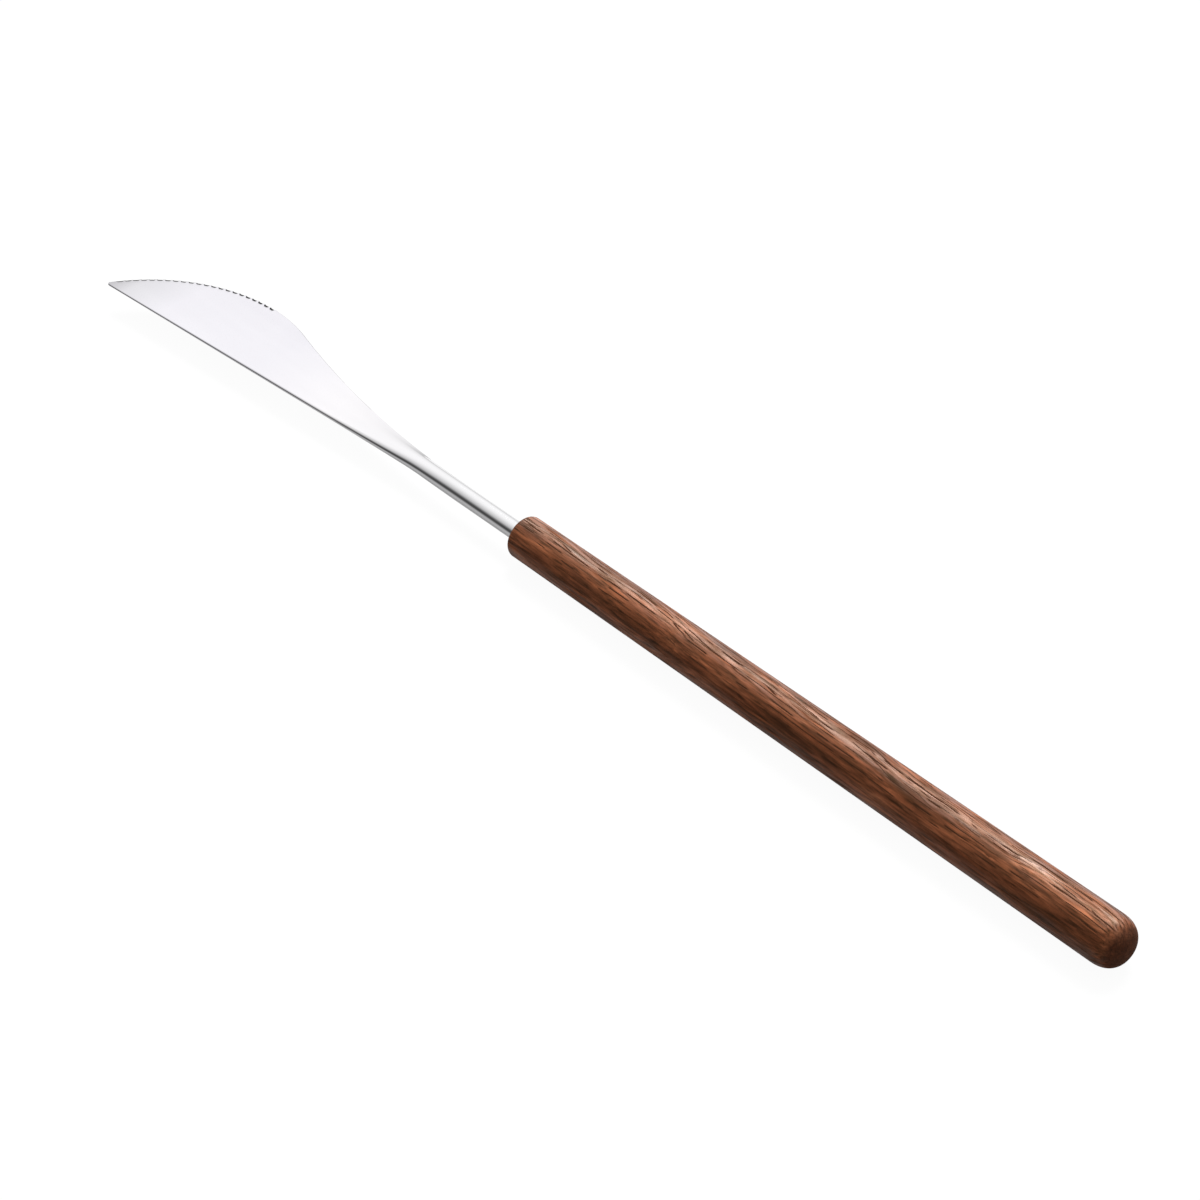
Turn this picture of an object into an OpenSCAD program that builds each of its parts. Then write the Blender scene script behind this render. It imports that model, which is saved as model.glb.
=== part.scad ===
// Slim table knife: a pointed, finely serrated steel blade on a turned wooden handle.
// It is drawn along the handle axis, with x from the tip to the butt, y towards the cutting edge
// and z up, and place_in_frame() then moves it to the part's frame.

/* [Blade outline] */
// Length from the tip to where the edge's root curve ends on the round neck
blade_len = 87.3; // [78:0.1:100]
// Distance from the tip back to the widest point
belly_reach = 26.7; // [22:0.1:32]
// Height of the edge above the handle axis at the widest point
belly_rise = 10.05; // [8:0.05:13]
// Depth of the tip below the handle axis
tip_drop = 6.4; // [4:0.1:8]
// Radius of the rounded tip
tip_r = 0.45; // [0.3:0.05:0.8]
// Length from the tip to where the spine's curve ends on the round neck
spine_len = 77; // [70:1:85]
// Radius of the curve that turns the straight spine into the neck
spine_blend_r = 60; // [40:5:150]

/* [Blade section] */
// Thickness of the spine at the tip
tip_t = 0.4; // [0.4:0.05:1]
// Thickness of the edge at the widest point
edge_t = 0.25; // [0.2:0.05:0.5]
// Distance from the tip to where the flat ground faces end
flat_len = 50; // [42:1:60]
// Thickness of the spine where the flat ground faces end
flat_t = 0.8; // [0.7:0.05:1.5]

/* [Teeth] */
// Distance from tooth to tooth along the edge
tooth_pitch = 1.4; // [1.2:0.1:3]
// Length of the ground gullet between two teeth
gullet_len = 1; // [0.6:0.1:1.1]
// Depth of the first gullet at the upper face, where the wheel enters
gullet_tip_depth = 0.4; // [0.1:0.05:0.6]
// Depth of the last gullet at the upper face, next to the widest point
gullet_depth = 0.55; // [0.3:0.05:0.8]
// Depth of every gullet at the lower face
gullet_low_depth = 0.05; // [0:0.05:0.2]
// Fullness of a gullet, from a round scoop to a square slot
gullet_fullness = 4; // [2:1:6]
// Plain edge between the tip and the first tooth
plain_tip_len = 1; // [0.5:0.1:6]

/* [Neck and tang] */
// Diameter of the round neck
neck_d = 3.1; // [2.8:0.1:4]
// Length of the plain round neck, from the root to the shoulder
neck_len = 13.5; // [6:0.5:30]
// Diameter of the tang
tang_d = 2.4; // [1.6:0.1:2.6]
// Length of the tang
tang_len = 65; // [30:1:100]

/* [Handle] */
// Length of the handle
handle_len = 129.2; // [110:0.1:150]
// Diameter of the handle at its front
handle_front_d = 7.3; // [6:0.1:9]
// Diameter of the handle where the domed butt begins
handle_butt_d = 8.4; // [7:0.1:12]
// Radius of the rounded front rim
front_round = 0.7; // [0.3:0.1:1.4]
// Length of the domed butt
dome_len = 4.4; // [3:0.1:6]
// Fullness of the dome, from an ellipse to a squarer end
dome_fullness = 2.5; // [2:0.1:4]

/* [Fit] */
// Thickness of the adhesive round the tang
glue_gap = 0.15; // [0.05:0.05:0.25]
// Depth of the adhesive beyond the end of the tang
glue_pool = 1.5; // [0.5:0.5:4]

/* [Hidden] */
$fn = 64;

// Overrun of every cut past the solid that it opens
cut_overrun = 1;
// Steps of the tip, of a gullet, of the plain stretches of the edge, of the root, and of a section
tip_steps = 8;
gullet_steps = 6;
heel_steps = 8;
flank_steps = 6;
root_steps = 26;
section_steps = 12;
// Steps of the handle's rim and dome
rim_steps = 8;
dome_steps = 24;

neck_r = neck_d / 2;
front_r = handle_front_d / 2;
butt_r = handle_butt_d / 2;
bore_d = tang_d + 2 * glue_gap;
bore_depth = tang_len + glue_pool;
shoulder_x = blade_len + neck_len;
overall_len = shoulder_x + handle_len;

// Belly arc: tangent to the round tip, with its top at the widest point
tip_c = [tip_r, tip_r - tip_drop];
belly_run = belly_reach - tip_c.x;
belly_lift = belly_rise - tip_c.y;
belly_r = (pow(belly_run, 2) + pow(belly_lift, 2) - pow(tip_r, 2)) / (2 * (belly_lift - tip_r));
belly_c = [belly_reach, belly_rise - belly_r];
tip_angle = atan2(tip_c.y - belly_c.y, tip_c.x - belly_c.x);

// Root arc: tangent to the belly arc and to the neck
root_run = blade_len - belly_reach;
root_lift = neck_r - belly_c.y;
root_r = (pow(root_run, 2) + pow(root_lift, 2) - pow(belly_r, 2)) / (2 * (belly_r - root_lift));
heel_angle = atan2(root_lift + root_r, root_run);
heel_x = belly_c.x + belly_r * cos(heel_angle);

// Spine: a straight line under the round tip, tangent to an arc that is tangent to the neck
spine_c = [spine_len, -neck_r - spine_blend_r];
spine_run = spine_c.x - tip_c.x;
spine_fall = tip_c.y - spine_c.y;
spine_slope = asin((spine_blend_r + tip_r) / norm([spine_run, spine_fall])) - atan2(spine_fall, spine_run);
spine_end_x = spine_len - spine_blend_r * sin(spine_slope);

// Teeth: equal steps along the belly arc, from the plain tip to the widest point
serrated_len = belly_r * (tip_angle - 90) * PI / 180 - plain_tip_len;
tooth_count = floor(serrated_len / tooth_pitch);
teeth_end = plain_tip_len + tooth_count * tooth_pitch;

// Flat ground face: half thickness z = face_z0 + face_dx * x + face_dy * y
flat_y = spine_y(flat_len) + tip_drop;
belly_y = belly_rise + tip_drop;
face_det = belly_reach * flat_y - flat_len * belly_y;
face_dx = ((edge_t - tip_t) * flat_y - (flat_t - tip_t) * belly_y) / 2 / face_det;
face_dy = ((flat_t - tip_t) * belly_reach - (edge_t - tip_t) * flat_len) / 2 / face_det;
face_z0 = tip_t / 2 + face_dy * tip_drop;

// Stops along the edge: angles round the tip, then on the belly arc the angle, the share of a gullet's
// depth and the share of the way along the teeth, and then distances along the flank and the root
tip_stops = [for (i = [0 : tip_steps]) blend(270 + spine_slope, tip_angle, i / tip_steps)];
belly_stops = concat(
    [
        for (tooth = [0 : tooth_count - 1], i = [0 : gullet_steps])
            [
                belly_angle(plain_tip_len + tooth * tooth_pitch + gullet_len * i / gullet_steps),
                1 - pow(abs(2 * i / gullet_steps - 1), gullet_fullness),
                tooth / (tooth_count - 1)
            ]
    ],
    [for (i = [0 : heel_steps]) [blend(belly_angle(teeth_end), heel_angle, i / heel_steps), 0, 1]]
);
flank_stops = [for (i = [1 : flank_steps - 1]) blend(heel_x, flat_len, i / flank_steps)];
root_stops = concat([for (i = [0 : root_steps]) blend(flat_len, blade_len, i / root_steps)], [shoulder_x]);

function blend(a, b, share) = a + (b - a) * share;
function ease(share) = share * share * (3 - 2 * share);
function arc_rise(r, run) = sqrt(pow(r, 2) - pow(run, 2));
function on_arc(centre, r, angle) = centre + r * [cos(angle), sin(angle)];
function belly_angle(run) = tip_angle - run / belly_r * 180 / PI;
function on_face(at) = [at.x, at.y, face_z0 + face_dx * at.x + face_dy * at.y];

// Corner line of one face along the edge, from the spine round the tip to where the flat faces end
function edge_line(first_depth, last_depth) = concat(
    [for (angle = tip_stops) on_face(on_arc(tip_c, tip_r, angle))],
    [
        for (stop = belly_stops)
            on_face(on_arc(belly_c, belly_r - stop[1] * blend(first_depth, last_depth, stop[2]), stop[0]))
    ],
    [for (x = flank_stops) on_face([x, edge_y(x)])]
);

// Edge and spine behind the tip
function edge_y(x) =
    x < heel_x ? belly_c.y + arc_rise(belly_r, x - belly_c.x) :
    x < blade_len ? neck_r + root_r - arc_rise(root_r, blade_len - x) :
    neck_r;

function spine_y(x) =
    x < spine_end_x ? tip_c.y - tip_r / cos(spine_slope) + (x - tip_c.x) * tan(spine_slope) :
    x < spine_len ? spine_c.y + arc_rise(spine_blend_r, spine_len - x) :
    -neck_r;

// How far the section at x has turned from the flat blade to the round neck
function roundness(x) = ease(min(max((x - flat_len) / (blade_len - flat_len), 0), 1));

// Point of the upper half of the section at x, counted from the spine to the edge
function section_point(x, i) =
    let (
        flat_share = (1 - cos(180 * i / (section_steps - 1))) / 2,
        round_angle = 180 * (i + 1 / 2) / section_steps,
        flat_at = blend(spine_y(x), edge_y(x), flat_share),
        round_at = blend(spine_y(x), edge_y(x), (1 - cos(round_angle)) / 2),
        flat_half = face_z0 + face_dx * x + face_dy * flat_at,
        turn = roundness(x)
    )
    [x, blend(flat_at, round_at, turn), blend(flat_half, neck_r * sin(round_angle), turn)];

function section(x) = concat(
    [for (i = [0 : section_steps - 1]) section_point(x, i)],
    [for (i = [section_steps - 1 : -1 : 0]) mirrored(section_point(x, i))]
);

function mirrored(point) = [point.x, point.y, -point.z];

// One skin over the flat serrated blade, the root that turns round, and the neck up to the shoulder
module forged_blade() {
    upper_line = edge_line(gullet_tip_depth, gullet_depth);
    lower_line = [for (point = edge_line(gullet_low_depth, gullet_low_depth)) mirrored(point)];
    sections = [for (x = root_stops) section(x)];

    ring = len(sections[0]);
    line = len(upper_line);
    root = 2 * line;
    shoulder = root + ring * (len(sections) - 1);
    upper = concat([for (i = [0 : line - 1]) i], [root + section_steps - 1]);
    lower = concat([for (i = [0 : line - 1]) line + i], [root + section_steps]);

    upper_face = concat(upper, [for (i = [section_steps - 2 : -1 : 0]) root + i]);
    lower_face = concat(
        [lower[0]],
        [for (i = [ring - 1 : -1 : section_steps + 1]) root + i],
        [for (i = [line : -1 : 1]) lower[i]]
    );
    spine = [upper[0], root, root + ring - 1, lower[0]];
    edge = [
        for (i = [0 : line - 1])
            each [[upper[i + 1], upper[i], lower[i]], [upper[i + 1], lower[i], lower[i + 1]]]
    ];
    root_skin = [
        for (start = [root : ring : shoulder - ring], i = [0 : ring - 1])
            let (a = start + i, b = start + (i + 1) % ring)
            each [[a, b, b + ring], [a, b + ring, a + ring]]
    ];
    shoulder_end = [for (i = [0 : ring - 1]) shoulder + i];

    polyhedron(
        concat(upper_line, lower_line, [for (s = sections) each s]),
        concat([upper_face, lower_face, spine, shoulder_end], edge, root_skin)
    );
}

// Turned shape of the handle along z, from its front face to the butt
module handle_turning() {
    rim = [
        for (i = [0 : rim_steps])
            let (angle = 90 * i / rim_steps)
            [front_r - front_round + front_round * sin(angle), front_round - front_round * cos(angle)]
    ];
    dome = [
        for (i = [0 : dome_steps])
            let (angle = 90 * i / dome_steps, power = 2 / dome_fullness)
            [butt_r * pow(cos(angle), power), handle_len - dome_len + dome_len * pow(sin(angle), power)]
    ];
    rotate_extrude()
        polygon(concat([[0, 0]], rim, dome));
}

// Turns z along the handle, from the shoulder towards the butt
module along_handle() {
    translate([shoulder_x, 0, 0])
        rotate([0, 90, 0])
            children();
}

// Sets the footprint's centre on the origin and the handle on the ground plane
module place_in_frame() {
    translate([-overall_len / 2, (tip_drop - belly_rise) / 2, butt_r])
        children();
}

module blade() {
    color([0.86, 0.87, 0.89])
        place_in_frame() {
            forged_blade();
            along_handle()
                translate([0, 0, -neck_len])
                    cylinder(d = tang_d, h = neck_len + tang_len);
        }
}

module handle() {
    color([0.43, 0.25, 0.17])
        place_in_frame()
            along_handle()
                difference() {
                    handle_turning();
                    translate([0, 0, -cut_overrun])
                        cylinder(d = bore_d, h = bore_depth + cut_overrun);
                }
}

module tang_adhesive() {
    color([0.80, 0.66, 0.36])
        place_in_frame()
            along_handle()
                difference() {
                    cylinder(d = bore_d, h = bore_depth);
                    translate([0, 0, -cut_overrun])
                        cylinder(d = tang_d, h = tang_len + cut_overrun);
                }
}

blade();
handle();
tang_adhesive();
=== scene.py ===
import math

import bpy
import bmesh
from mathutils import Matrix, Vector


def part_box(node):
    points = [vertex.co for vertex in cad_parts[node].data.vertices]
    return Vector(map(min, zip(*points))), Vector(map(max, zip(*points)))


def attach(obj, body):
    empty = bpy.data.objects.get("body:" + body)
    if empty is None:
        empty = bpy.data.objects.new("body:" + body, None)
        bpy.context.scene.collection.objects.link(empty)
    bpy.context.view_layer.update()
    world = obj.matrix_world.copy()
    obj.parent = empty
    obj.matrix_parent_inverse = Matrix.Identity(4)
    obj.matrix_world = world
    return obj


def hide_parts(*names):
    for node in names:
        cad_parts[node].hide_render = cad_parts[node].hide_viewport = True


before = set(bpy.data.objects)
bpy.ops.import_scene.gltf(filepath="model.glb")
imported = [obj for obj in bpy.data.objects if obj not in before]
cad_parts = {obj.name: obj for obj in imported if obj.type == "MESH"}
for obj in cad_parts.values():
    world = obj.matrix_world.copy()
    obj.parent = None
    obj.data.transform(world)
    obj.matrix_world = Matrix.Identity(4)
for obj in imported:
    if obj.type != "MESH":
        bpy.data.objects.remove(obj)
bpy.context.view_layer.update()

MM = 0.001

# Blade outline and section, in millimetres from the tip along the handle axis
BLADE_LEN = 87.3
BELLY_REACH = 26.7
BELLY_RISE = 10.05
TIP_DROP = 6.4
TIP_R = 0.45
SPINE_LEN = 77.0
SPINE_BLEND_R = 60.0
TIP_T = 0.4
EDGE_T = 0.25
FLAT_LEN = 50.0
FLAT_T = 0.8
NECK_R = 1.55
NECK_LEN = 13.5
TANG_R = 1.2
TANG_LEN = 65.0
TANG_END_LEN = 0.6
TANG_END_DROP = 0.4
SHOULDER_X = BLADE_LEN + NECK_LEN

# Ground teeth: each gullet is a bevel ground from the upper face, and the first ones almost run together
TOOTH_PITCH = 1.4
PLAIN_TIP_LEN = 1.0
GULLET_LEN = 1.1
TIP_GULLET_LEN = 1.34
MERGED_TEETH = 8
GULLET_TIP_DEPTH = 0.45
GULLET_DEPTH = 0.66
GULLET_LOW_DEPTH = 0.05
GULLET_FULLNESS = 6
GULLET_SLOPE = math.radians(14)

# Easing of the edge at the tip, on the teeth and along the flank
TIP_EDGE_EASE = 0.2
TIP_EASE_LEN = 14.0
EDGE_EASE = 0.09
FLANK_EASE = 0.2
FLANK_EASE_LEN = 8.0

# Handle
HANDLE_LEN = 129.2
FRONT_R = 3.65
BUTT_R = 4.2
FRONT_ROUND = 0.7
DOME_LEN = 4.4
DOME_FULLNESS = 2.5
BORE_R = 1.35
BORE_DEPTH = 66.5
BORE_CHAMFER = 0.1

# Rows of a blade section, counted from the spine over the upper face to the edge and back below
SPINE_ROWS = 6
FACE_ROWS = 9
EDGE_ROWS = 8
FIRST_EDGE_ROW = SPINE_ROWS + FACE_ROWS
SECTION_ROWS = 2 * FIRST_EDGE_ROW + EDGE_ROWS

# Strip along the edge that is left to the grinding, and limits where the blade is narrow
GUARD_W = 1.1
GUARD_SHARE = 0.5
CUT_SHARE = 0.8
SPINE_ROUND_SHARE = 0.4

# Ground steel, rougher and painted near black as shade: its share of the edge, how fast a tooth turns into a
# gullet, and how much of it lies on tooth and flank
GROUND_SHARE = 0.75
TOOTH_STEEPNESS = 5
GROUND_RISE = 3
TOOTH_GROUND_SHADE_SHARE = 0.95
FLANK_GROUND_SHADE_SHARE = 0.45

# Fineness of the meshes
TIP_STATION_SHARES = (0.04, 0.25, 0.6, 1.0)
PLAIN_TIP_STATION_SHARES = (0.25, 0.6)
GULLET_STATION_SHARES = (0.0, 0.03, 0.08, 0.15, 0.25, 0.4, 0.6, 0.75, 0.85, 0.92, 0.97, 1.0)
HEEL_RINGS = 8
FLANK_RINGS = 8
ROOT_RINGS = 70
NECK_RINGS = 8
RIM_STEPS = 12
TAPER_STEPS = 60
DOME_STEPS = 40
HANDLE_SIDES = 128
BLADE_CREASE = math.radians(16)
HANDLE_CREASE = math.radians(30)

# Finishes
SHADE_LEN = 100.0
# Painted shade: near-black steel colour for the ground gullets, teeth and flank walls
PAINTED_EDGE_SHADE = (0.012, 0.0118, 0.0123, 1.0)
PORE_BROWN = (0.030, 0.010, 0.005, 1.0)
# End grain colour, made darker still as painted shade on the handle's ends
END_GRAIN_SHADE_BROWN = (0.032, 0.011, 0.008, 1.0)
WARM_GLOSS = (1.0, 0.52, 0.22, 1.0)
GRAIN_TURN = (0.0, math.radians(-0.5), math.radians(1.0))
TOP_GRAIN_TURN = (0.0, 0.0, math.radians(4.0))

# Table: half its width in metres, where the painted shade in its reflection fades across the knife in
# millimetres, and its tones
TABLE_HALF = 6.0
FADE_FRONT = -50.0
FADE_BACK = 100.0
TABLE_GREY = 0.32
SEEN_GLOW_SHARE = 0.95
MIRROR_GLOW_SHARE = 0.6

# Studio light: each direction points from the knife towards the light
SKY_TOWARDS = (-0.443, 0.404, 0.8)
FRONT_FILL_TOWARDS = (0.50, -0.78, 0.37)
END_FILL_TOWARDS = (0.92, 0.10, 0.38)
KEY_TOWARDS = Vector((-0.30, 0.52, 0.80))
KEY_STRENGTH = 3.7
KEY_WIDTH = math.radians(30)

# Camera: its rise over the table and turn round the knife, its distance and aim in metres,
# the image and focal length in pixels, and the sensor in millimetres
CAMERA_RISE = math.radians(39.0)
CAMERA_TURN = math.radians(47.658)
CAMERA_DISTANCE = 0.650
LOOK_X = 0.00615
LOOK_Y = -0.00193
IMAGE_PX = 1200
FOCAL_PX = 4163.4
SENSOR_W = 36.0

# Knife axis in the frame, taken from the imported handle
handle_low, handle_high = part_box("handle")
BUTT_X = handle_high.x
AXIS_Y = (handle_low.y + handle_high.y) / 2
AXIS_Z = (handle_low.z + handle_high.z) / 2


def in_frame(x, y, z):
    """Point of the knife, measured from the tip in millimetres, in the frame's metres."""
    return Vector((BUTT_X + (x - SHOULDER_X - HANDLE_LEN) * MM, AXIS_Y + y * MM, AXIS_Z + z * MM))


def blend(a, b, share):
    return a + (b - a) * share


def ease(share):
    share = min(max(share, 0.0), 1.0)
    return share * share * (3 - 2 * share)


# Outline of the blade: round tip, belly arc, root arc and spine, each tangent to the next

TIP_X, TIP_Y = TIP_R, TIP_R - TIP_DROP
BELLY_RUN = BELLY_REACH - TIP_X
BELLY_LIFT = BELLY_RISE - TIP_Y
BELLY_R = (BELLY_RUN ** 2 + BELLY_LIFT ** 2 - TIP_R ** 2) / (2 * (BELLY_LIFT - TIP_R))
BELLY_X, BELLY_Y = BELLY_REACH, BELLY_RISE - BELLY_R
TIP_ANGLE = math.atan2(TIP_Y - BELLY_Y, TIP_X - BELLY_X)
TIP_EDGE_X = TIP_X + TIP_R * math.cos(TIP_ANGLE)
ROOT_RUN = BLADE_LEN - BELLY_REACH
ROOT_LIFT = NECK_R - BELLY_Y
ROOT_R = (ROOT_RUN ** 2 + ROOT_LIFT ** 2 - BELLY_R ** 2) / (2 * (BELLY_R - ROOT_LIFT))
HEEL_ANGLE = math.atan2(ROOT_LIFT + ROOT_R, ROOT_RUN)
HEEL_X = BELLY_X + BELLY_R * math.cos(HEEL_ANGLE)
SPINE_Y = -NECK_R - SPINE_BLEND_R
SPINE_RUN = SPINE_LEN - TIP_X
SPINE_FALL = TIP_Y - SPINE_Y
SPINE_TURN = math.asin((SPINE_BLEND_R + TIP_R) / math.hypot(SPINE_RUN, SPINE_FALL))
SPINE_SLOPE = SPINE_TURN - math.atan2(SPINE_FALL, SPINE_RUN)
SPINE_START_X = TIP_X + TIP_R * math.sin(SPINE_SLOPE)
SPINE_END_X = SPINE_LEN - SPINE_BLEND_R * math.sin(SPINE_SLOPE)
BELLY_LEN = BELLY_R * (TIP_ANGLE - HEEL_ANGLE)
TOOTH_COUNT = int((BELLY_R * (TIP_ANGLE - math.pi / 2) - PLAIN_TIP_LEN) / TOOTH_PITCH)


def arc_rise(r, run):
    return math.sqrt(max(r * r - run * run, 0.0))


def edge_y(x):
    if x < TIP_EDGE_X:
        return TIP_Y + arc_rise(TIP_R, x - TIP_X)
    if x < HEEL_X:
        return BELLY_Y + arc_rise(BELLY_R, x - BELLY_X)
    if x < BLADE_LEN:
        return NECK_R + ROOT_R - arc_rise(ROOT_R, BLADE_LEN - x)
    return NECK_R


def edge_normal(x):
    """Direction out of the edge, in the blade's plane."""
    if x < TIP_EDGE_X:
        return (x - TIP_X) / TIP_R, arc_rise(TIP_R, x - TIP_X) / TIP_R
    if x < HEEL_X:
        return (x - BELLY_X) / BELLY_R, arc_rise(BELLY_R, x - BELLY_X) / BELLY_R
    if x < BLADE_LEN:
        return (BLADE_LEN - x) / ROOT_R, arc_rise(ROOT_R, BLADE_LEN - x) / ROOT_R
    return 0.0, 1.0


def spine_y(x):
    if x < SPINE_START_X:
        return TIP_Y - arc_rise(TIP_R, x - TIP_X)
    if x < SPINE_END_X:
        return TIP_Y - TIP_R / math.cos(SPINE_SLOPE) + (x - TIP_X) * math.tan(SPINE_SLOPE)
    if x < SPINE_LEN:
        return SPINE_Y + arc_rise(SPINE_BLEND_R, SPINE_LEN - x)
    return -NECK_R


# Each face is one plane, set by the thickness at the tip, at the belly's top and on the spine at FLAT_LEN

FLAT_RISE = spine_y(FLAT_LEN) + TIP_DROP
FULL_RISE = BELLY_RISE + TIP_DROP
FACE_DET = BELLY_REACH * FLAT_RISE - FLAT_LEN * FULL_RISE
FACE_DX = ((EDGE_T - TIP_T) * FLAT_RISE - (FLAT_T - TIP_T) * FULL_RISE) / 2 / FACE_DET
FACE_DY = ((FLAT_T - TIP_T) * BELLY_REACH - (EDGE_T - TIP_T) * FLAT_LEN) / 2 / FACE_DET
FACE_Z0 = TIP_T / 2 + FACE_DY * TIP_DROP


def half_thickness(x, y):
    return FACE_Z0 + FACE_DX * x + FACE_DY * y


def edge_rounding(x):
    """How far the edge is eased: most at the tip and along the plain flank, least on the teeth."""
    if x < BELLY_REACH:
        return blend(TIP_EDGE_EASE, EDGE_EASE, min(x / TIP_EASE_LEN, 1.0))
    return blend(EDGE_EASE, FLANK_EASE, min((x - BELLY_REACH) / FLANK_EASE_LEN, 1.0))


def blade_section(x, gullet, depth):
    """Closed loop of the blade at x on the edge; gullet is the share of a gullet's depth there."""
    out_x, out_y = edge_normal(x)
    tip_y, back_y = edge_y(x), spine_y(x)
    width = tip_y - back_y
    spine_h = min(half_thickness(x, back_y), SPINE_ROUND_SHARE * width)
    edge_h = half_thickness(x, tip_y)
    guard = min(GUARD_W, GUARD_SHARE * width)
    cut = gullet * min(depth, CUT_SHARE * guard)
    low_cut = gullet * GULLET_LOW_DEPTH
    rounding = edge_rounding(x)

    def inset(amount, z):
        return (x - amount * out_x, tip_y - amount * out_y, z)

    upper = []
    for i in range(SPINE_ROWS):
        turn = math.pi / 2 * i / SPINE_ROWS
        upper.append((x, back_y + spine_h * (1 - math.cos(turn)), spine_h * math.sin(turn)))
    start = (x, back_y + spine_h)
    end = inset(guard, 0)[:2]
    for i in range(FACE_ROWS):
        share = i / (FACE_ROWS - 1)
        px, py = blend(start[0], end[0], share), blend(start[1], end[1], share)
        upper.append((px, py, half_thickness(px, py)))
    lower = [(px, py, -pz) for px, py, pz in reversed(upper[1:])]

    edge = []
    plain_share = max(0.0, 1 - TOOTH_STEEPNESS * gullet)
    foot = edge_h - min(2 * edge_h, max(cut - low_cut, 0.0) * math.tan(GULLET_SLOPE))
    for i in range(EDGE_ROWS + 1):
        share = i / EDGE_ROWS
        turn = math.pi * share
        slope = min(share / GROUND_SHARE, 1.0)
        if share < GROUND_SHARE:
            drop = blend(edge_h, foot, slope)
        else:
            drop = blend(foot, -edge_h, (share - GROUND_SHARE) / (1 - GROUND_SHARE))
        plain = inset(rounding * (1 - math.sin(turn)), edge_h * math.cos(turn))
        scoop = inset(blend(max(cut, rounding), low_cut, slope), drop)
        edge.append(tuple(blend(s, p, plain_share) for s, p in zip(scoop, plain)))
    return upper + edge + lower


def round_loop(x, centre, half_width, half_height):
    """As many rows as a blade section has, on an ellipse."""
    turns = [2 * math.pi * i / SECTION_ROWS for i in range(SECTION_ROWS)]
    return [(x, centre - half_width * math.cos(turn), half_height * math.sin(turn)) for turn in turns]


def neck_section(x):
    """Round section of the neck, and of the root that turns into it."""
    return round_loop(x, (edge_y(x) + spine_y(x)) / 2, (edge_y(x) - spine_y(x)) / 2, NECK_R)


def blade_stations():
    """Places from the tip to the heel: x on the edge, share of a gullet, and the gullet's depth there."""
    stations = [(share * TIP_EDGE_X, 0.0, 0.0) for share in TIP_STATION_SHARES]
    lengths = [(share * PLAIN_TIP_LEN, 0.0, 0.0) for share in PLAIN_TIP_STATION_SHARES]
    for tooth in range(TOOTH_COUNT):
        start = PLAIN_TIP_LEN + tooth * TOOTH_PITCH
        depth = blend(GULLET_TIP_DEPTH, GULLET_DEPTH, tooth / (TOOTH_COUNT - 1))
        gullet_len = blend(TIP_GULLET_LEN, GULLET_LEN, min(tooth / MERGED_TEETH, 1.0))
        for mark in GULLET_STATION_SHARES:
            lengths.append((start + gullet_len * mark, 1 - abs(2 * mark - 1) ** GULLET_FULLNESS, depth))
    first_plain = PLAIN_TIP_LEN + TOOTH_COUNT * TOOTH_PITCH
    for i in range(HEEL_RINGS + 1):
        lengths.append((blend(first_plain, BELLY_LEN, i / HEEL_RINGS), 0.0, 0.0))
    for length, gullet, depth in lengths:
        angle = TIP_ANGLE - length / BELLY_R
        stations.append((BELLY_X + BELLY_R * math.cos(angle), gullet, depth))
    return stations


def ground_shade_rows(x, gullet):
    """Share of ground steel, rougher and painted near black as shade, on each row of a section: whole in a
    gullet, less on a tooth and the flank.
    """
    first = FIRST_EDGE_ROW + 1
    last = FIRST_EDGE_ROW + int(EDGE_ROWS * GROUND_SHARE)
    ground_shade = max(min(1.0, GROUND_RISE * gullet), TOOTH_GROUND_SHADE_SHARE if x < BELLY_REACH else FLANK_GROUND_SHADE_SHARE)
    return [ground_shade if first <= i <= last else 0.0 for i in range(SECTION_ROWS)]


def blade_rings():
    """Closed loops from the tip of the blade to the end of the tang."""
    rings = [blade_section(x, gullet, depth) for x, gullet, depth in blade_stations()]
    for i in range(1, FLANK_RINGS + 1):
        rings.append(blade_section(blend(HEEL_X, FLAT_LEN, i / FLANK_RINGS), 0.0, 0.0))
    for i in range(1, ROOT_RINGS + 1):
        x = blend(FLAT_LEN, BLADE_LEN, i / ROOT_RINGS)
        turn = ease((x - FLAT_LEN) / (BLADE_LEN - FLAT_LEN))
        pairs = zip(blade_section(x, 0.0, 0.0), neck_section(x))
        rings.append([tuple(blend(a, b, turn) for a, b in zip(flat, full)) for flat, full in pairs])
    for i in range(1, NECK_RINGS + 1):
        rings.append(neck_section(blend(BLADE_LEN, SHOULDER_X, i / NECK_RINGS)))
    tang_end = SHOULDER_X + TANG_LEN
    for x, r in ((SHOULDER_X, TANG_R), (tang_end - TANG_END_LEN, TANG_R), (tang_end, TANG_R - TANG_END_DROP)):
        rings.append(round_loop(x, 0.0, r, r))
    return rings


def join_rings(work, rows):
    """Faces between each closed ring of corners and the next."""
    count = len(rows[0])
    for a, b in zip(rows, rows[1:]):
        for i in range(count):
            j = (i + 1) % count
            work.faces.new((a[i], b[i], b[j], a[j]))


def finish_mesh(name, work, crease):
    """Piece made of the working mesh, shaded smooth, with corners sharper than the crease kept crisp."""
    bmesh.ops.recalc_face_normals(work, faces=work.faces)
    for face in work.faces:
        face.smooth = True
    for edge in work.edges:
        if len(edge.link_faces) == 2 and edge.calc_face_angle(0.0) > crease:
            edge.smooth = False
    mesh = bpy.data.meshes.new(name)
    work.to_mesh(mesh)
    work.free()
    piece = bpy.data.objects.new(name, mesh)
    bpy.context.scene.collection.objects.link(piece)
    return piece


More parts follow.
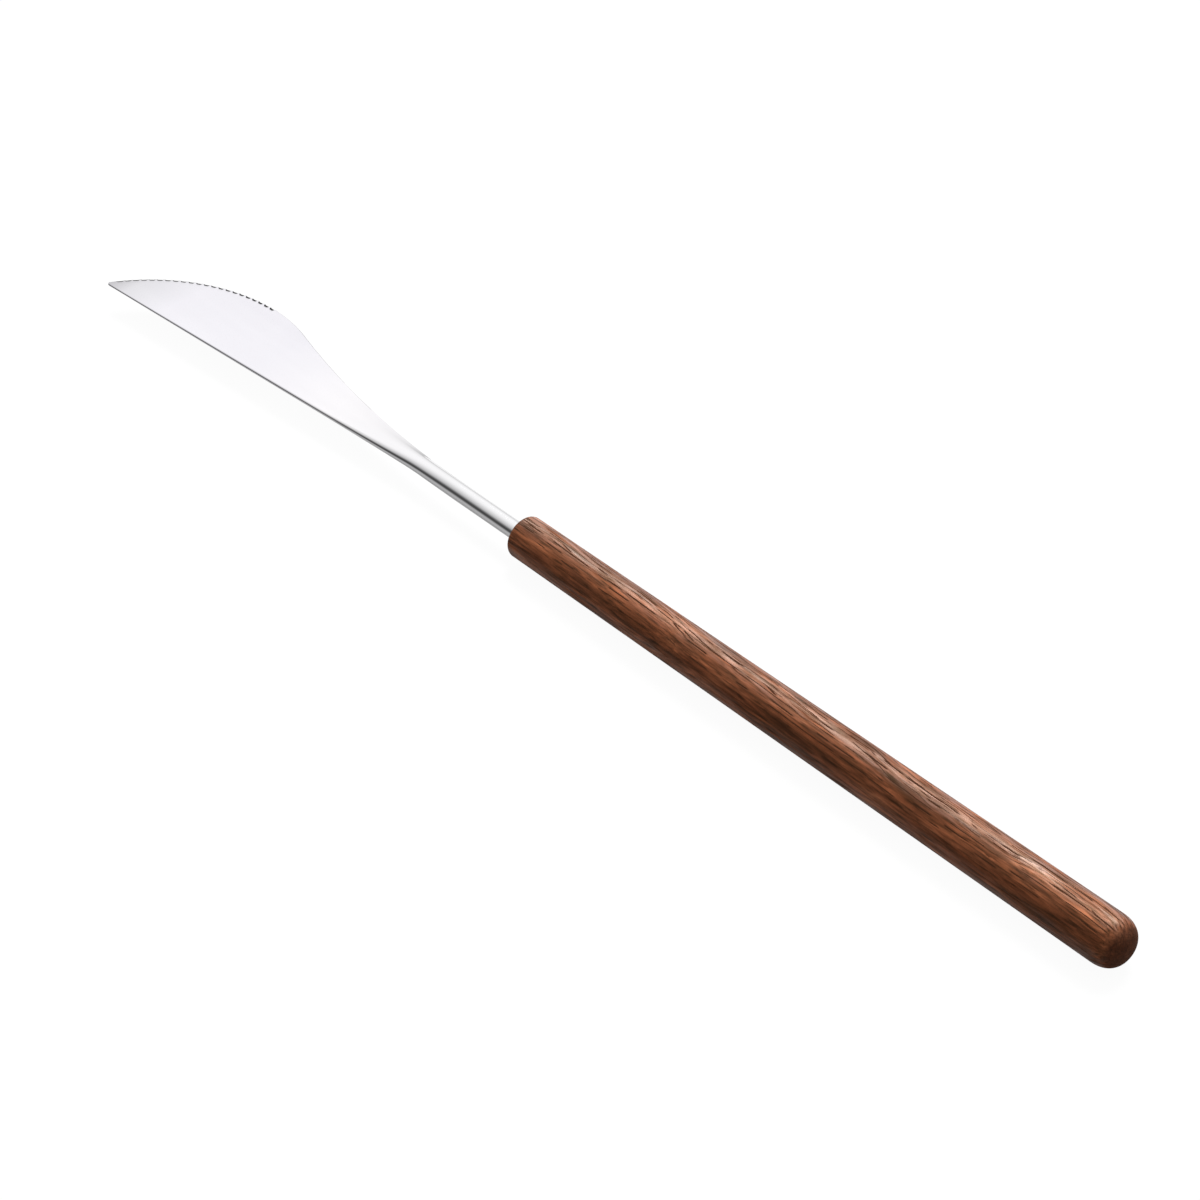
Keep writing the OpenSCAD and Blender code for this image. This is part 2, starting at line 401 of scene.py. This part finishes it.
def blade_piece():
    """Blade, neck and tang in one skin, with the ground steel and its painted shade marked on its corners."""
    work = bmesh.new()
    ground_shade_layer = work.verts.layers.float.new("ground")
    rows = [[work.verts.new(in_frame(*point)) for point in ring] for ring in blade_rings()]
    ground = [ground_shade_rows(x, gullet) for x, gullet, depth in blade_stations()]
    ground += [ground_shade_rows(FLAT_LEN, 0.0) for i in range(FLANK_RINGS)]
    for row, shares in zip(rows, ground):
        for vert, share in zip(row, shares):
            vert[ground_shade_layer] = share
    join_rings(work, rows)
    work.faces.new(rows[0])
    work.faces.new(list(reversed(rows[-1])))
    piece = finish_mesh("knife_blade", work, BLADE_CREASE)
    flats = piece.modifiers.new("true_flats", "WEIGHTED_NORMAL")
    flats.mode = "FACE_AREA"
    flats.keep_sharp = True
    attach(piece, "root")
    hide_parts("blade")
    return piece


def handle_profile():
    """Outline of the turned handle from bore to butt: distance from the front face, and radius."""
    profile = [(0.0, BORE_R + BORE_CHAMFER)]
    for i in range(RIM_STEPS + 1):
        turn = math.pi / 2 * i / RIM_STEPS
        profile.append((FRONT_ROUND * (1 - math.cos(turn)), FRONT_R - FRONT_ROUND * (1 - math.sin(turn))))
    dome_start = HANDLE_LEN - DOME_LEN
    for i in range(1, TAPER_STEPS):
        share = i / TAPER_STEPS
        profile.append((blend(FRONT_ROUND, dome_start, share), blend(FRONT_R, BUTT_R, share)))
    power = 2 / DOME_FULLNESS
    for i in range(DOME_STEPS):
        turn = math.pi / 2 * i / DOME_STEPS
        profile.append((dome_start + DOME_LEN * math.sin(turn) ** power, BUTT_R * math.cos(turn) ** power))
    return profile


def handle_piece():
    """Turned handle with its blind bore."""
    work = bmesh.new()
    turns = [2 * math.pi * i / HANDLE_SIDES for i in range(HANDLE_SIDES)]

    def ring(x, r):
        points = [in_frame(SHOULDER_X + x, r * math.cos(turn), r * math.sin(turn)) for turn in turns]
        return [work.verts.new(point) for point in points]

    outside = [ring(x, r) for x, r in handle_profile()]
    bore = [ring(BORE_CHAMFER, BORE_R), ring(BORE_DEPTH, BORE_R)]
    rows = list(reversed(bore)) + outside
    join_rings(work, rows)
    work.faces.new(rows[0])
    apex = work.verts.new(in_frame(SHOULDER_X + HANDLE_LEN, 0, 0))
    for i in range(HANDLE_SIDES):
        work.faces.new((rows[-1][i], apex, rows[-1][(i + 1) % HANDLE_SIDES]))
    piece = finish_mesh("knife_handle", work, HANDLE_CREASE)
    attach(piece, "root")
    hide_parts("handle")
    return piece


# Node helpers

def put(tree, kind, **settings):
    node = tree.nodes.new(kind)
    for name, value in settings.items():
        setattr(node, name, value)
    return node


def feed(tree, socket, value):
    if isinstance(value, bpy.types.NodeSocket):
        tree.links.new(value, socket)
    else:
        socket.default_value = value


def math_node(tree, operation, a, b=0.0, clamp=False):
    node = put(tree, "ShaderNodeMath", operation=operation, use_clamp=clamp)
    feed(tree, node.inputs[0], a)
    feed(tree, node.inputs[1], b)
    return node.outputs[0]


def times(tree, a, b):
    return math_node(tree, "MULTIPLY", a, b)


def times_plus(tree, value, factor, addend):
    result = math_node(tree, "MULTIPLY_ADD", value, factor)
    result.node.inputs[2].default_value = addend
    return result


def dot(tree, a, b):
    node = put(tree, "ShaderNodeVectorMath", operation="DOT_PRODUCT")
    feed(tree, node.inputs[0], a)
    feed(tree, node.inputs[1], b)
    return node.outputs["Value"]


def axis_values(tree, vector):
    node = put(tree, "ShaderNodeSeparateXYZ")
    tree.links.new(vector, node.inputs[0])
    return node.outputs


def ramp(tree, value, stops):
    node = put(tree, "ShaderNodeValToRGB")
    elements = node.color_ramp.elements
    while len(elements) < len(stops):
        elements.new(0.5)
    for element, (place, colour) in zip(elements, stops):
        element.position = place
        element.color = colour if len(colour) == 4 else (*colour, 1.0)
    feed(tree, node.inputs[0], value)
    return node.outputs[0]


def straight_step(tree, value, low, high):
    node = put(tree, "ShaderNodeMapRange")
    feed(tree, node.inputs["Value"], value)
    node.inputs["From Min"].default_value = low
    node.inputs["From Max"].default_value = high
    return node.outputs[0]


def smooth_step(tree, value, low, high):
    step = straight_step(tree, value, low, high)
    step.node.interpolation_type = "SMOOTHSTEP"
    return step


def grey(value):
    return (value, value, value, 1.0)


def greys(*stops):
    return [(place, grey(level)) for place, level in stops]


def mix_colour(tree, share, a, b, kind="MIX"):
    node = put(tree, "ShaderNodeMix", data_type="RGBA", blend_type=kind)
    feed(tree, node.inputs[0], share)
    feed(tree, node.inputs[6], a)
    feed(tree, node.inputs[7], b)
    return node.outputs[2]


def bump(tree, shader, height, strength, distance):
    node = put(tree, "ShaderNodeBump")
    node.inputs["Strength"].default_value = strength
    node.inputs["Distance"].default_value = distance
    tree.links.new(height, node.inputs["Height"])
    tree.links.new(node.outputs[0], shader.inputs["Normal"])


def new_group(name, inputs, outputs):
    group = bpy.data.node_groups.new(name, "ShaderNodeTree")
    for label, kind, value in inputs:
        socket = group.interface.new_socket(name=label, in_out="INPUT", socket_type=kind)
        if value is not None:
            socket.default_value = value
    for label, kind in outputs:
        group.interface.new_socket(name=label, in_out="OUTPUT", socket_type=kind)
    return group, put(group, "NodeGroupInput"), put(group, "NodeGroupOutput")


def placed(tree, group, place, **values):
    """A shared effect set in a material, with its own values."""
    node = put(tree, "ShaderNodeGroup", node_tree=group)
    tree.links.new(place, node.inputs["Place"])
    for label, value in values.items():
        feed(tree, node.inputs[label], value)
    return node.outputs[0]


def long_grain_group():
    """Noise drawn out along one axis, for wood fibres and polishing lines."""
    group, inside, outside = new_group(
        "long_grain",
        [
            ("Place", "NodeSocketVector", None),
            ("Along", "NodeSocketFloat", 0.1),
            ("Across", "NodeSocketFloat", 1.0),
            ("Detail", "NodeSocketFloat", 2.0),
            ("Seed", "NodeSocketFloat", 0.0),
        ],
        [("Value", "NodeSocketFloat")],
    )
    stretch = put(group, "ShaderNodeCombineXYZ")
    group.links.new(inside.outputs["Along"], stretch.inputs[0])
    group.links.new(inside.outputs["Across"], stretch.inputs[1])
    group.links.new(inside.outputs["Across"], stretch.inputs[2])
    scaled = put(group, "ShaderNodeVectorMath", operation="MULTIPLY")
    group.links.new(inside.outputs["Place"], scaled.inputs[0])
    group.links.new(stretch.outputs[0], scaled.inputs[1])
    noise = put(group, "ShaderNodeTexNoise", noise_dimensions="4D")
    noise.inputs["Scale"].default_value = 1.0
    noise.inputs["Roughness"].default_value = 0.55
    group.links.new(scaled.outputs[0], noise.inputs["Vector"])
    group.links.new(inside.outputs["Seed"], noise.inputs["W"])
    group.links.new(inside.outputs["Detail"], noise.inputs["Detail"])
    group.links.new(noise.outputs[0], outside.inputs["Value"])
    return group


def handling_group():
    """Soft patches left by hands and wiping."""
    group, inside, outside = new_group(
        "handling_marks",
        [
            ("Place", "NodeSocketVector", None),
            ("Size", "NodeSocketFloat", 0.1),
            ("Seed", "NodeSocketFloat", 0.0),
        ],
        [("Mask", "NodeSocketFloat")],
    )
    noise = put(group, "ShaderNodeTexNoise", noise_dimensions="4D")
    noise.inputs["Detail"].default_value = 4.0
    noise.inputs["Roughness"].default_value = 0.6
    noise.inputs["Distortion"].default_value = 0.6
    group.links.new(inside.outputs["Place"], noise.inputs["Vector"])
    group.links.new(inside.outputs["Size"], noise.inputs["Scale"])
    group.links.new(inside.outputs["Seed"], noise.inputs["W"])
    group.links.new(smooth_step(group, noise.outputs[0], 0.35, 0.7), outside.inputs["Mask"])
    return group


def ring_line_group():
    """Thin dark lines where growth layers reach the surface, each broken into lengths of its own.

    The layers lie square to Through. A line narrows to nothing where its layer lies flat on the surface.
    """
    group, inside, outside = new_group(
        "ring_lines",
        [
            ("Place", "NodeSocketVector", None),
            ("Facing", "NodeSocketVector", None),
            ("Through", "NodeSocketVector", None),
            ("Spacing", "NodeSocketFloat", 1.0),
            ("Width", "NodeSocketFloat", 0.1),
            ("Along", "NodeSocketFloat", 0.1),
            ("Seed", "NodeSocketFloat", 0.0),
        ],
        [("Mask", "NodeSocketFloat")],
    )
    through = dot(group, inside.outputs["Place"], inside.outputs["Through"])
    layer = math_node(group, "DIVIDE", through, inside.outputs["Spacing"])
    layer = math_node(group, "ADD", layer, inside.outputs["Seed"])
    chance = put(group, "ShaderNodeTexWhiteNoise", noise_dimensions="1D")
    group.links.new(math_node(group, "FLOOR", layer), chance.inputs["W"])
    shares = put(group, "ShaderNodeSeparateColor")
    group.links.new(chance.outputs["Color"], shares.inputs[0])
    centre = times_plus(group, shares.outputs[0], 0.5, 0.25)
    off = math_node(group, "ABSOLUTE", math_node(group, "SUBTRACT", math_node(group, "FRACT", layer), centre))
    half = times(group, inside.outputs["Width"], math_node(group, "ADD", shares.outputs[1], 0.5))
    lying = math_node(group, "ABSOLUTE", dot(group, inside.outputs["Facing"], inside.outputs["Through"]))
    cut_through = math_node(group, "SUBTRACT", 1.0, lying, clamp=True)
    half = times(group, half, smooth_step(group, cut_through, 0.02, 0.4))
    line = smooth_step(group, math_node(group, "DIVIDE", half, off), 1.0, 2.0)
    run = put(group, "ShaderNodeCombineXYZ")
    along = axis_values(group, inside.outputs["Place"])[0]
    group.links.new(times(group, along, inside.outputs["Along"]), run.inputs[0])
    group.links.new(times(group, shares.outputs[2], 61.0), run.inputs[1])
    breaks = put(group, "ShaderNodeTexNoise", noise_dimensions="2D")
    breaks.inputs["Scale"].default_value = 1.0
    breaks.inputs["Detail"].default_value = 1.0
    group.links.new(run.outputs[0], breaks.inputs["Vector"])
    kept = smooth_step(group, breaks.outputs[0], 0.47, 0.56)
    group.links.new(times(group, line, kept), outside.inputs["Mask"])
    return group


def square_to(degrees):
    """Direction through layers that lie flat on the handle where its surface is turned that far."""
    return (0.0, -math.sin(math.radians(degrees)), math.cos(math.radians(degrees)))


def new_material(name):
    material = bpy.data.materials.new(name)
    material.use_nodes = True
    tree = material.node_tree
    tree.nodes.clear()
    shader = put(tree, "ShaderNodeBsdfPrincipled")
    out = put(tree, "ShaderNodeOutputMaterial")
    tree.links.new(shader.outputs[0], out.inputs[0])
    return material, tree, shader


def millimetres(tree, turn=(0.0, 0.0, 0.0)):
    """Place on the piece in millimetres, turned to the grain."""
    place = put(tree, "ShaderNodeTexCoord")
    scaled = put(tree, "ShaderNodeMapping")
    scaled.inputs["Scale"].default_value = (1 / MM, 1 / MM, 1 / MM)
    scaled.inputs["Rotation"].default_value = turn
    tree.links.new(place.outputs["Object"], scaled.inputs["Vector"])
    return scaled.outputs[0]


def polished_steel(long_grain, handling):
    """Mirror polish with faint lines and smears, painted shade along the blade, and near-black painted shade
    where it is ground, which is also rougher.
    """
    material, tree, shader = new_material("polished_steel")
    place = millimetres(tree)
    lines = placed(tree, long_grain, place, Along=0.15, Across=14.0, Detail=3.0, Seed=2.0)
    broad = placed(tree, long_grain, place, Along=0.02, Across=0.25, Detail=2.0, Seed=5.0)
    smears = placed(tree, handling, place, Size=0.12, Seed=7.0)
    cloud = ramp(tree, broad, [(0.3, (0.965, 0.965, 0.97)), (0.7, (1.0, 1.0, 1.0))])
    # Painted shade and light along the blade: darkest at the tip, brightest near the root and dimmer on the
    # neck, for how bright its reflections are there
    tip_x = in_frame(0, 0, 0).x / MM
    shade = ramp(
        tree,
        straight_step(tree, axis_values(tree, place)[0], tip_x, tip_x + SHADE_LEN),
        [
            (0.0, (0.58, 0.57, 0.595)),
            (0.018, (0.67, 0.66, 0.685)),
            (0.04, (0.80, 0.79, 0.82)),
            (0.13, (0.92, 0.905, 0.95)),
            (0.36, (0.92, 0.905, 0.95)),
            (0.55, (1.0, 0.98, 1.0)),
            (0.84, (0.94, 0.935, 0.945)),
        ],
    )
    ground = put(tree, "ShaderNodeAttribute", attribute_name="ground").outputs["Fac"]
    colour = mix_colour(tree, 1.0, shade, cloud, "MULTIPLY")
    # Painted shade: ground gullets, teeth and flank walls are coloured near black for their dark reflections;
    # their extra roughness is the real grinding
    colour = mix_colour(tree, ground, colour, PAINTED_EDGE_SHADE)
    tree.links.new(colour, shader.inputs["Base Color"])
    rough = times_plus(tree, lines, 0.04, 0.04)
    rough = math_node(tree, "ADD", rough, times(tree, smears, 0.03))
    rough = math_node(tree, "ADD", rough, times(tree, ground, 0.3))
    tree.links.new(rough, shader.inputs["Roughness"])
    shader.inputs["Metallic"].default_value = 1.0
    bump(tree, shader, lines, strength=0.05, distance=0.00001)
    return material


def wood_place(tree, long_grain):
    """Place in the wood in millimetres, with the grain swaying to and fro along the handle."""
    straight = millimetres(tree, GRAIN_TURN)
    drift = placed(tree, long_grain, straight, Along=0.03, Across=0.06, Detail=1.0, Seed=37.0)
    waver = placed(tree, long_grain, straight, Along=0.10, Across=0.4, Detail=2.0, Seed=43.0)
    sway = math_node(tree, "ADD", times(tree, drift, 5.0), times(tree, waver, 0.9))
    shift = put(tree, "ShaderNodeCombineXYZ")
    tree.links.new(sway, shift.inputs[1])
    tree.links.new(times(tree, sway, -0.7), shift.inputs[2])
    moved = put(tree, "ShaderNodeVectorMath", operation="ADD")
    tree.links.new(straight, moved.inputs[0])
    tree.links.new(shift.outputs[0], moved.inputs[1])
    return moved.outputs[0]


def oiled_wood(long_grain, handling, line_group):
    """Open-grained wood: patches, streaks, flecks and broken pore lines along the grain, and dull ends
    darkened both as end grain and as painted shade.
    """
    material, tree, shader = new_material("oiled_wood")
    place = wood_place(tree, long_grain)
    tilted = put(tree, "ShaderNodeMapping")
    tilted.inputs["Rotation"].default_value = TOP_GRAIN_TURN
    tree.links.new(place, tilted.inputs["Vector"])
    top_place = tilted.outputs[0]

    patch = placed(tree, long_grain, place, Along=0.04, Across=0.38, Detail=3.0, Seed=1.0)
    streak = placed(tree, long_grain, place, Along=0.07, Across=1.4, Detail=3.0, Seed=3.0)
    top_streak = placed(tree, long_grain, top_place, Along=0.08, Across=1.3, Detail=2.0, Seed=23.0)
    cloud = placed(tree, long_grain, place, Along=0.11, Across=0.5, Detail=2.0, Seed=19.0)
    fibre = placed(tree, long_grain, place, Along=0.2, Across=5.0, Detail=2.0, Seed=11.0)
    fleck = placed(tree, long_grain, place, Along=0.22, Across=2.6, Detail=2.0, Seed=53.0)

    facing = put(tree, "ShaderNodeTexCoord").outputs["Normal"]
    upward = math_node(tree, "ADD", dot(tree, facing, (0.0, 0.2, 0.5)), 0.5)
    uppermost = smooth_step(tree, upward, 0.775, 0.975)
    upper_half = times_plus(tree, smooth_step(tree, upward, 0.45, 0.8), 0.5, 0.5)
    endways = math_node(tree, "ABSOLUTE", axis_values(tree, facing)[0])
    end_grain_and_shade = smooth_step(tree, endways, 0.28, 0.75)

    top_lines = placed(
        tree, line_group, top_place,
        Facing=facing, Through=square_to(65), Spacing=0.7, Width=0.17, Along=0.17, Seed=3.0,
    )
    fine_lines = placed(
        tree, line_group, place,
        Facing=facing, Through=square_to(125), Spacing=0.55, Width=0.17, Along=0.2, Seed=7.0,
    )
    lines = placed(
        tree, line_group, place,
        Facing=facing, Through=square_to(125), Spacing=0.95, Width=0.15, Along=0.16, Seed=0.0,
    )
    lines = math_node(tree, "MAXIMUM", lines, times(tree, top_lines, uppermost))
    lines = math_node(tree, "MAXIMUM", lines, times(tree, fine_lines, 0.55))
    lines = times(tree, lines, math_node(tree, "SUBTRACT", upper_half, end_grain_and_shade, clamp=True))

    colour = ramp(
        tree,
        patch,
        [
            (0.32, (0.096, 0.027, 0.010)),
            (0.43, (0.141, 0.040, 0.016)),
            (0.52, (0.184, 0.054, 0.022)),
            (0.60, (0.230, 0.073, 0.032)),
            (0.70, (0.292, 0.106, 0.051)),
        ],
    )
    bands = ramp(tree, streak, greys((0.32, 0.42), (0.45, 0.84), (0.55, 1.03), (0.68, 1.3)))
    clouds = ramp(
        tree,
        cloud,
        [(0.34, (0.70, 0.64, 0.62)), (0.5, (1.0, 1.0, 1.0)), (0.66, (1.14, 1.18, 1.18))],
    )
    threads = ramp(tree, fibre, greys((0.3, 0.75), (0.7, 1.1)))
    flecks = ramp(tree, fleck, greys((0.30, 0.22), (0.41, 0.76), (0.52, 1.08), (0.70, 1.65)))
    for tone in (bands, clouds, threads, flecks):
        colour = mix_colour(tree, 1.0, colour, tone, "MULTIPLY")
    colour = mix_colour(tree, times(tree, lines, 0.95), colour, PORE_BROWN)
    # The ends darken partly as real end grain and partly as painted shade
    colour = mix_colour(tree, times(tree, end_grain_and_shade, 0.75), colour, END_GRAIN_SHADE_BROWN)
    tree.links.new(colour, shader.inputs["Base Color"])

    worn = placed(tree, handling, place, Size=0.08, Seed=31.0)
    rough = ramp(tree, top_streak, greys((0.34, 0.68), (0.46, 0.48), (0.56, 0.41), (0.68, 0.35)))
    rough = math_node(tree, "ADD", rough, times(tree, fibre, 0.08))
    open_grain = math_node(tree, "MAXIMUM", lines, end_grain_and_shade)
    rough = math_node(tree, "ADD", rough, times(tree, open_grain, 0.5), clamp=True)
    rough = math_node(tree, "SUBTRACT", rough, times(tree, worn, 0.04))
    tree.links.new(rough, shader.inputs["Roughness"])

    sheen = ramp(tree, top_streak, greys((0.34, 0.05), (0.46, 0.20), (0.56, 0.36), (0.68, 0.65)))
    dull = math_node(tree, "MAXIMUM", lines, times(tree, end_grain_and_shade, 0.8))
    polish = ramp(tree, upward, greys((0.32, 0.5), (0.45, 0.15), (0.76, 0.1), (0.94, 1.0)))
    glints = ramp(tree, fleck, greys((0.32, 0.1), (0.50, 1.05), (0.68, 1.7)))
    for share in (math_node(tree, "SUBTRACT", 1.0, dull), polish, glints):
        sheen = times(tree, sheen, share)
    tree.links.new(sheen, shader.inputs["Coat Weight"])
    shader.inputs["Coat IOR"].default_value = 1.7
    shader.inputs["Coat Roughness"].default_value = 0.47
    shader.inputs["Specular IOR Level"].default_value = 0.52
    shader.inputs["Specular Tint"].default_value = WARM_GLOSS

    height = math_node(tree, "SUBTRACT", times(tree, fibre, 0.35), times(tree, lines, 0.5))
    bump(tree, shader, height, strength=0.5, distance=0.00006)
    return material


def cured_adhesive(handling):
    material, tree, shader = new_material("cured_adhesive")
    cloudy = placed(tree, handling, millimetres(tree), Size=0.4, Seed=41.0)
    amber = ramp(tree, cloudy, [(0.0, (0.52, 0.36, 0.12)), (1.0, (0.68, 0.50, 0.22))])
    tree.links.new(amber, shader.inputs["Base Color"])
    tree.links.new(times_plus(tree, cloudy, 0.2, 0.5), shader.inputs["Roughness"])
    return material


def set_material(piece, material):
    piece.data.materials.clear()
    piece.data.materials.append(material)


def pale_table():
    """White floor that keeps the knife's shadow; in the knife's reflections it is painted pale behind and
    dark in front, as shade.
    """
    mesh = bpy.data.meshes.new("table_top")
    near, far = -TABLE_HALF, TABLE_HALF
    mesh.from_pydata([(near, near, 0), (far, near, 0), (far, far, 0), (near, far, 0)], [], [(0, 1, 2, 3)])
    table = bpy.data.objects.new("table_top", mesh)
    bpy.context.scene.collection.objects.link(table)
    material = bpy.data.materials.new("pale_table")
    material.use_nodes = True
    tree = material.node_tree
    tree.nodes.clear()
    place = put(tree, "ShaderNodeTexCoord").outputs["Object"]
    across = straight_step(tree, axis_values(tree, place)[1], FADE_FRONT * MM, FADE_BACK * MM)
    # Painted shade seen only in reflections: grey levels across the floor, dark in front of the knife and
    # pale behind it
    levels = (
        (FADE_FRONT, 0.06), (-24, 0.08), (-17, 0.19), (-12, 0.33), (-6, 0.41),
        (0, 0.43), (8, 0.7), (40, 0.8), (90, 0.75),
    )
    fade = FADE_BACK - FADE_FRONT
    painted_mirror_shade = ramp(tree, across, greys(*(((y - FADE_FRONT) / fade, level) for y, level in levels)))
    path = put(tree, "ShaderNodeLightPath")
    bounced = math_node(tree, "MAXIMUM", path.outputs["Is Glossy Ray"], path.outputs["Is Transmission Ray"])
    colour = mix_colour(tree, bounced, grey(TABLE_GREY), painted_mirror_shade)
    colour = mix_colour(tree, path.outputs["Is Camera Ray"], colour, grey(1.0))
    matt = put(tree, "ShaderNodeBsdfDiffuse")
    tree.links.new(colour, matt.inputs["Color"])
    glow = put(tree, "ShaderNodeEmission")
    glow.inputs["Strength"].default_value = 1.0
    tree.links.new(colour, glow.inputs["Color"])
    seen = times(tree, path.outputs["Is Camera Ray"], SEEN_GLOW_SHARE)
    mixed = put(tree, "ShaderNodeMixShader")
    mirrored = times(tree, bounced, MIRROR_GLOW_SHARE)
    tree.links.new(math_node(tree, "MAXIMUM", seen, mirrored), mixed.inputs[0])
    tree.links.new(matt.outputs[0], mixed.inputs[1])
    tree.links.new(glow.outputs[0], mixed.inputs[2])
    out = put(tree, "ShaderNodeOutputMaterial")
    tree.links.new(mixed.outputs[0], out.inputs[0])
    set_material(table, material)


def studio_light():
    """Soft sky, brightest up behind the blade and dark in front, with two soft fills and one soft key."""
    world = bpy.data.worlds.new("studio")
    bpy.context.scene.world = world
    world.use_nodes = True
    tree = world.node_tree
    tree.nodes.clear()
    way = put(tree, "ShaderNodeTexCoord").outputs["Generated"]
    levels = (
        (-1, 0.05), (-0.07, 0.06), (0.06, 0.08), (0.21, 0.20), (0.36, 0.47),
        (0.52, 0.62), (0.65, 0.72), (0.8, 0.86), (0.95, 1.0),
    )
    half = times_plus(tree, dot(tree, way, SKY_TOWARDS), 0.5, 0.5)
    sky = ramp(tree, half, greys(*(((facing + 1) / 2, level) for facing, level in levels)))
    front_fill = ramp(tree, dot(tree, way, FRONT_FILL_TOWARDS), greys((0.52, 0.0), (0.75, 0.3), (0.95, 0.5)))
    end_fill = ramp(tree, dot(tree, way, END_FILL_TOWARDS), greys((0.78, 0.0), (0.90, 0.3), (0.97, 0.42)))
    for fill in (front_fill, end_fill):
        sky = mix_colour(tree, 1.0, sky, fill, "LIGHTEN")
    low = ramp(tree, axis_values(tree, way)[2], greys((0.0, 0.75), (0.1, 0.9), (0.25, 1.0)))
    back = put(tree, "ShaderNodeBackground")
    back.inputs["Strength"].default_value = 1.0
    tree.links.new(mix_colour(tree, 1.0, sky, low, "MULTIPLY"), back.inputs["Color"])
    out = put(tree, "ShaderNodeOutputWorld")
    tree.links.new(back.outputs[0], out.inputs[0])

    lamp = bpy.data.lights.new("key", "SUN")
    lamp.energy = KEY_STRENGTH
    lamp.angle = KEY_WIDTH
    key = bpy.data.objects.new("key", lamp)
    bpy.context.scene.collection.objects.link(key)
    key.rotation_euler = KEY_TOWARDS.to_track_quat("Z", "Y").to_euler()


def photo_camera():
    """Camera at the photograph's viewing angle."""
    level = math.cos(CAMERA_RISE)
    back = Vector((math.sin(CAMERA_TURN) * level, -math.cos(CAMERA_TURN) * level, math.sin(CAMERA_RISE)))
    look = Vector((LOOK_X, AXIS_Y + LOOK_Y, AXIS_Z))
    data = bpy.data.cameras.new("camera")
    data.sensor_width = SENSOR_W
    data.lens = FOCAL_PX / IMAGE_PX * SENSOR_W
    data.clip_start = 0.01
    camera = bpy.data.objects.new("camera", data)
    bpy.context.scene.collection.objects.link(camera)
    camera.location = look + CAMERA_DISTANCE * back
    camera.rotation_euler = back.to_track_quat("Z", "Y").to_euler()
    bpy.context.scene.camera = camera


photo_camera()
studio_light()
pale_table()

long_grain = long_grain_group()
handling = handling_group()
set_material(blade_piece(), polished_steel(long_grain, handling))
set_material(handle_piece(), oiled_wood(long_grain, handling, ring_line_group()))
set_material(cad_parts["tang_adhesive"], cured_adhesive(handling))

bpy.context.scene.view_settings.view_transform = "Standard"
